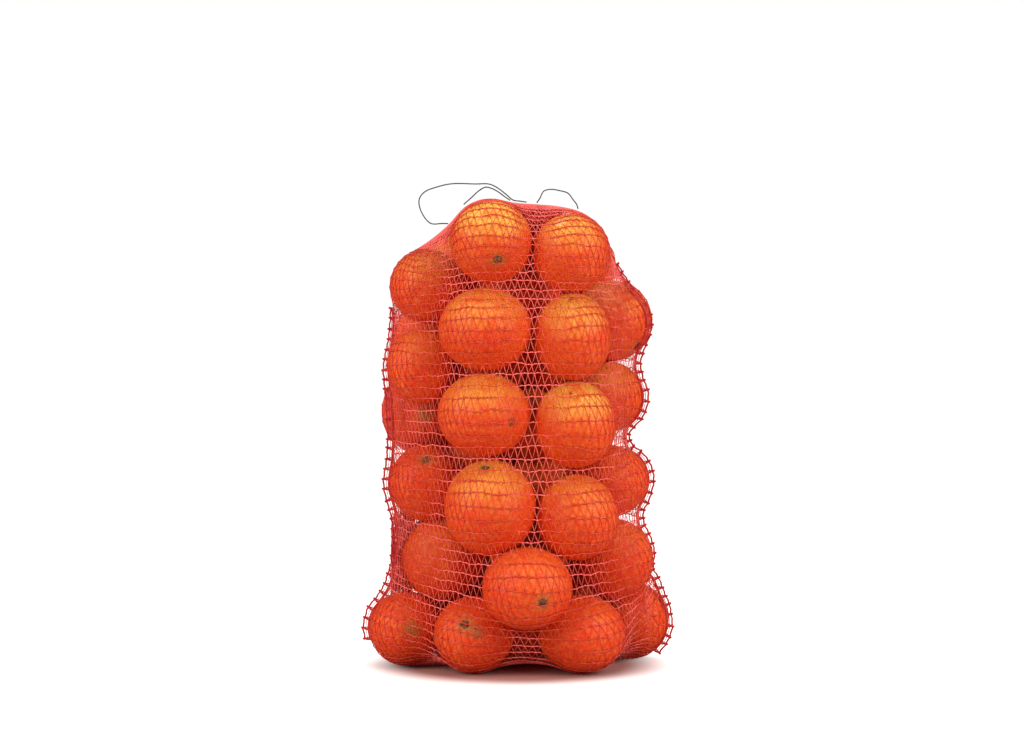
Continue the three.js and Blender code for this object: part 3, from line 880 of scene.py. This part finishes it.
def mottle_group():
    """Two colours that change over in soft patches."""
    group, start, end = node_group(
        "mottle",
        [("One", "NodeSocketColor", None), ("Other", "NodeSocketColor", None),
         ("Scale", "NodeSocketFloat", 30.0), ("Shift", "NodeSocketFloat", 0.0)],
        [("Color", "NodeSocketColor"), ("Mask", "NodeSocketFloat")])
    place = group.nodes.new("ShaderNodeTexCoord")
    noise = group.nodes.new("ShaderNodeTexNoise")
    noise.inputs["Detail"].default_value = 3
    spread = group.nodes.new("ShaderNodeMapRange")
    spread.inputs["From Min"].default_value = 0.35
    spread.inputs["From Max"].default_value = 0.65
    shifted = group.nodes.new("ShaderNodeMath")
    shifted.use_clamp = True
    mix = group.nodes.new("ShaderNodeMix")
    mix.data_type = "RGBA"
    link = group.links.new
    link(place.outputs["Object"], noise.inputs["Vector"])
    link(start.outputs["Scale"], noise.inputs["Scale"])
    link(noise.outputs["Fac"], spread.inputs["Value"])
    link(spread.outputs["Result"], shifted.inputs[0])
    link(start.outputs["Shift"], shifted.inputs[1])
    link(shifted.outputs[0], mix.inputs["Factor"])
    link(start.outputs["One"], mix.inputs[6])
    link(start.outputs["Other"], mix.inputs[7])
    link(mix.outputs[2], end.inputs["Color"])
    link(shifted.outputs[0], end.inputs["Mask"])
    return group


def fine_grain_group():
    """A fine height: pits of one size and a finer grain over them."""
    group, start, end = node_group(
        "fine_grain",
        [("Pits", "NodeSocketFloat", 900.0), ("Grain", "NodeSocketFloat", 3000.0)],
        [("Height", "NodeSocketFloat"), ("Pit", "NodeSocketFloat")])
    place = group.nodes.new("ShaderNodeTexCoord")
    cells = group.nodes.new("ShaderNodeTexVoronoi")
    cells.feature = "SMOOTH_F1"
    noise = group.nodes.new("ShaderNodeTexNoise")
    edge = group.nodes.new("ShaderNodeMapRange")
    edge.inputs["From Min"].default_value = 0.0
    edge.inputs["From Max"].default_value = 0.55
    total = group.nodes.new("ShaderNodeMath")
    total.operation = "MULTIPLY_ADD"
    total.inputs[1].default_value = 0.35
    link = group.links.new
    link(place.outputs["Object"], cells.inputs["Vector"])
    link(place.outputs["Object"], noise.inputs["Vector"])
    link(start.outputs["Pits"], cells.inputs["Scale"])
    link(start.outputs["Grain"], noise.inputs["Scale"])
    link(cells.outputs["Distance"], edge.inputs["Value"])
    link(noise.outputs["Fac"], total.inputs[0])
    link(edge.outputs["Result"], total.inputs[2])
    link(total.outputs[0], end.inputs["Height"])
    link(edge.outputs["Result"], end.inputs["Pit"])
    return group


MOTTLE = mottle_group()
FINE_GRAIN = fine_grain_group()


class Finish:
    """A material of one Principled shader, with short ways to add nodes and links."""

    def __init__(self, name, **values):
        self.material = bpy.data.materials.new(name)
        self.material.use_nodes = True
        self.tree = self.material.node_tree
        self.shader = self.tree.nodes["Principled BSDF"]
        for socket, value in values.items():
            self.shader.inputs[socket.replace("_", " ")].default_value = value

    def node(self, kind, **settings):
        made = self.tree.nodes.new(kind)
        for name, value in settings.items():
            setattr(made, name, value)
        return made

    def link(self, start, end):
        self.tree.links.new(start, end)

    def group(self, tree, **values):
        made = self.node("ShaderNodeGroup", node_tree=tree)
        for name, value in values.items():
            made.inputs[name].default_value = value
        return made

    def mix(self, factor, first, second):
        made = self.node("ShaderNodeMix", data_type="RGBA")
        for socket, value in ((0, factor), (6, first), (7, second)):
            self.feed(made.inputs[socket], value)
        return made.outputs[2]

    def feed(self, socket, value):
        if isinstance(value, bpy.types.NodeSocket):
            self.link(value, socket)
        else:
            socket.default_value = value

    def near(self, distance, reach, soft):
        """1 inside the reach, falling to 0 past it."""
        ramp = self.node("ShaderNodeMapRange", interpolation_type="SMOOTHSTEP")
        self.feed(ramp.inputs["Value"], distance)
        self.feed(ramp.inputs["From Min"], reach)
        self.feed(ramp.inputs["From Max"], soft)
        ramp.inputs["To Min"].default_value = 1
        ramp.inputs["To Max"].default_value = 0
        return ramp.outputs["Result"]

    def math(self, operation, *values):
        made = self.node("ShaderNodeMath", operation=operation)
        for socket, value in zip(made.inputs, values):
            self.feed(socket, value)
        return made.outputs[0]

    def length(self, name):
        """The length of a vector attribute."""
        attribute = self.node("ShaderNodeAttribute", attribute_name=name)
        measure = self.node("ShaderNodeVectorMath", operation="LENGTH")
        self.link(attribute.outputs["Vector"], measure.inputs[0])
        return measure.outputs["Value"]

    def value(self, name):
        return self.node("ShaderNodeAttribute", attribute_name=name).outputs["Fac"]

    def bump(self, height, distance):
        made = self.node("ShaderNodeBump")
        made.inputs["Distance"].default_value = distance
        self.link(height, made.inputs["Height"])
        self.link(made.outputs["Normal"], self.shader.inputs["Normal"])


def rgba(colour):
    return (*colour, 1)


def peel_finish():
    """Mottled peel with a painted golden highlight on its upper front, pits, a dark ring round the stem and
    a scar where there is one.
    """
    finish = Finish("orange_peel", Specular_IOR_Level=0.2)
    patches = finish.group(MOTTLE, One=rgba(PEEL_DEEP), Other=rgba(PEEL_BRIGHT), Scale=26)
    # Partly each fruit's own tone and partly painted light: a better-lit fruit is shifted to the brighter
    # peel colour.
    shift = finish.math("MULTIPLY_ADD", finish.value("tone"), 0.7, -0.25)
    finish.link(shift, patches.inputs["Shift"])
    # Painted highlight: golden colour laid on the upper front of each fruit.
    painted_highlight_gold = finish.group(MOTTLE, One=rgba(PEEL_BRIGHT), Other=rgba(PEEL_GOLD_AND_HIGHLIGHT), Scale=90, Shift=0.4)
    colour = finish.mix(finish.value("painted_highlight"), patches.outputs["Color"], painted_highlight_gold.outputs["Color"])
    speckle = finish.group(MOTTLE, One=rgba(PEEL_DEEP), Other=rgba(PEEL_GOLD_AND_HIGHLIGHT), Scale=280, Shift=-0.35)
    colour = finish.mix(SPECKLE_SHARE, colour, speckle.outputs["Color"])
    grain = finish.group(FINE_GRAIN, Pits=780.0, Grain=2600.0)
    pits = finish.math("MULTIPLY_ADD", grain.outputs["Pit"], -PIT_DEPTH, PIT_DEPTH)
    colour = finish.mix(pits, colour, rgba(PEEL_PIT))

    ragged = finish.node("ShaderNodeTexNoise")
    ragged.inputs["Scale"].default_value = 420
    ragged.inputs["Detail"].default_value = 4
    place = finish.node("ShaderNodeTexCoord")
    finish.link(place.outputs["Object"], ragged.inputs["Vector"])
    frayed = finish.math("MULTIPLY_ADD", ragged.outputs["Fac"], STEM_FRAYING, -STEM_FRAYING / 2)
    stem = finish.math("ADD", finish.length("from_stem"), frayed)
    ring = finish.math("MULTIPLY", finish.near(stem, *STEM_RING_REACH), 0.55)
    colour = finish.mix(ring, colour, rgba(STEM_RING))
    socket = finish.math("MULTIPLY", finish.near(stem, *STEM_DARK_REACH), 0.9)
    colour = finish.mix(socket, colour, rgba(STEM_DARK))

    reach = finish.value("mark_reach")
    fringe = finish.math("MULTIPLY_ADD", ragged.outputs["Fac"], MARK_FRAYING, -MARK_FRAYING / 2)
    worn = finish.math("MULTIPLY_ADD", fringe, reach, finish.length("from_mark"))
    scarred = finish.near(worn, finish.math("MULTIPLY", reach, MARK_CORE), reach)
    skin = finish.node("ShaderNodeAttribute", attribute_name="mark_skin").outputs["Color"]
    colour = finish.mix(finish.math("MULTIPLY", scarred, 0.8), colour, skin)
    finish.link(colour, finish.shader.inputs["Base Color"])
    rough = finish.math("MULTIPLY_ADD", scarred, MARK_ROUGHNESS, PEEL_ROUGHNESS)
    finish.link(rough, finish.shader.inputs["Roughness"])
    finish.bump(grain.outputs["Height"], 0.0003)
    return finish.material


def yarn_finish(name, one, other, roughness):
    """Twisted fibres in two shades that change over in patches."""
    finish = Finish(name, Roughness=roughness, Specular_IOR_Level=0.3)
    patches = finish.group(MOTTLE, One=rgba(one), Other=rgba(other), Scale=170)
    finish.link(patches.outputs["Color"], finish.shader.inputs["Base Color"])
    fibres = finish.group(FINE_GRAIN, Pits=2400.0, Grain=7000.0)
    finish.bump(fibres.outputs["Height"], 0.0001)
    return finish, patches


def net_finish():
    """Red yarn with painted light and shade: deeper red where it lies on the peel, a painted shade, and
    paler pink where it hangs before a gap, a painted light.
    """
    finish, patches = yarn_finish("net_yarn", NET_RED, NET_PINK_LIT, 0.35)
    finish.link(finish.math("MULTIPLY_ADD", finish.value("free_painted_light"), 1.1, -0.55), patches.inputs["Shift"])
    return finish.material


def floor_finish():
    """A pale floor with a painted brown shadow round the sack's foot and a pink tint that is a painted red
    bounce from the sack, running out into the white behind through a glow only the camera sees.
    """
    finish = Finish("pale_floor", Roughness=0.8)
    # Pale pink floor: the tint is a painted red bounce from the sack.
    patches = finish.group(MOTTLE, One=rgba((0.72, 0.56, 0.52)), Other=rgba((0.70, 0.54, 0.50)), Scale=3)
    place = finish.node("ShaderNodeTexCoord")
    shaped = finish.node("ShaderNodeVectorMath", operation="MULTIPLY")
    finish.link(place.outputs["Object"], shaped.inputs[0])
    shaped.inputs[1].default_value = FLOOR_GLOW_SHAPE
    distance = finish.node("ShaderNodeVectorMath", operation="LENGTH")
    finish.link(shaped.outputs[0], distance.inputs[0])
    # Painted shadow: near the sack's foot the floor turns brown and loses its glow.
    shade = finish.near(distance.outputs["Value"], FLOOR_GLOW_FROM, FLOOR_GLOW_TO)
    colour = finish.mix(shade, patches.outputs["Color"], rgba(FLOOR_SHADE))
    finish.link(colour, finish.shader.inputs["Base Color"])
    seen = finish.node("ShaderNodeLightPath").outputs["Is Camera Ray"]
    glow = finish.math("MULTIPLY", finish.math("SUBTRACT", 1.0, shade), seen)
    finish.link(glow, finish.shader.inputs["Emission Strength"])
    finish.shader.inputs["Emission Color"].default_value = (1, 1, 1, 1)
    return finish.material


# The view, the light and the floor


def make_camera():
    camera = bpy.data.objects.new("view", bpy.data.cameras.new("view"))
    bpy.context.scene.collection.objects.link(camera)
    camera.data.lens = LENS
    camera.data.sensor_width = 36
    camera.data.clip_end = 60
    away = Vector((0, -math.cos(VIEW_TILT), math.sin(VIEW_TILT)))
    camera.location = VIEW_MIDDLE + away * VIEW_DISTANCE
    camera.rotation_euler = (math.pi / 2 - VIEW_TILT, 0, 0)
    bpy.context.scene.camera = camera


def make_lights():
    world = bpy.data.worlds.new("white_studio")
    world.use_nodes = True
    nodes, link = world.node_tree.nodes, world.node_tree.links.new
    seen = nodes.new("ShaderNodeLightPath")
    strength = nodes.new("ShaderNodeMapRange")
    strength.inputs["To Min"].default_value = SKY_LIGHT
    strength.inputs["To Max"].default_value = 1.02
    link(seen.outputs["Is Camera Ray"], strength.inputs["Value"])
    link(strength.outputs["Result"], nodes["Background"].inputs["Strength"])
    nodes["Background"].inputs["Color"].default_value = (1, 1, 1, 1)
    bpy.context.scene.world = world
    for name, place, size, watts in STUDIO_LIGHTS:
        lamp = bpy.data.lights.new(name, "AREA")
        lamp.size = size
        lamp.energy = watts
        light = bpy.data.objects.new(name, lamp)
        light.location = place
        light.rotation_euler = (Vector((0, 0, 0.2)) - Vector(place)).to_track_quat("-Z", "Y").to_euler()
        bpy.context.scene.collection.objects.link(light)


def make_floor():
    half = FLOOR_HALF
    corners = [(-half, -half, 0), (half, -half, 0), (half, half, 0), (-half, half, 0)]
    mesh = bpy.data.meshes.new("floor")
    mesh.from_pydata(corners, [], [(0, 1, 2, 3)])
    mesh.materials.append(floor_finish())
    floor = bpy.data.objects.new("floor", mesh)
    bpy.context.scene.collection.objects.link(floor)


def netting_piece(name, shape, fruits, material):
    piece = mesh_piece(name, *shape, "netting", material)
    # How far the yarn hangs clear of the fruit, which sets its painted light and shade.
    add_attribute(piece.data, "free_painted_light", "FLOAT", hanging_free(shape[0], fruits))
    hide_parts("net_of_oranges")


def make_netting(fruits, yarn, seam_yarn):
    draw = np.random.default_rng(SEED)
    net = slack_net(CHAIN_ROWS // COARSE, COLUMNS // COARSE)
    pull_tight(net, fruits, COARSE_PASSES, False)
    net = pull_tight(refined(net), fruits, FINE_PASSES, True)
    net = wandering(net, draw)
    push_out(net[1:-1], fruits, NET_CLEARANCE)
    normals = net_normals(net)
    half = CHAIN_ROWS // 2
    for name, rows in (("lower", range(0, half)), ("upper", range(half, CHAIN_ROWS))):
        chains = list(rows) if name == "upper" else list(rows)[1:]
        zigzags = zigzag_yarns(net, normals, fruits, rows, draw)
        netting_piece(f"netting_chains_{name}", chain_rows(net, normals, chains), fruits, yarn)
        netting_piece(f"netting_zigzags_{name}", zigzags, fruits, yarn)
    for name, seam in SEAMS.items():
        netting_piece(f"side_seam_{name}", seam_ladder(net, **seam, draw=draw), fruits, seam_yarn)
    for name, fold in FOLDS.items():
        netting_piece(name, folds(**fold, draw=draw), fruits, yarn)
    netting_piece("mouth_hem", mouth_hem(net, normals), fruits, yarn)


bpy.context.scene.view_settings.view_transform = "Standard"
make_camera()
twine = yarn_finish("dark_twine", (0.035, 0.035, 0.033), (0.075, 0.073, 0.068), 0.7)[0].material
for loop_name, route in STRING_LOOPS.items():
    drawstring(loop_name, route, twine)
make_lights()
make_floor()
oranges = pack_fruit()
peel = peel_finish()
buttons = [make_orange(fruit, number, peel) for number, fruit in enumerate(oranges)]
sepals = yarn_finish("dry_sepals", (0.07, 0.028, 0.012), (0.24, 0.115, 0.05), 0.8)[0].material
stems = mesh_piece("stem_buttons", *joined(buttons), "orange_peel", sepals)
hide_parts("net_of_oranges")
make_netting(oranges, net_finish(), yarn_finish("seam_yarn", SEAM_RED, NET_RED, 0.45)[0].material)
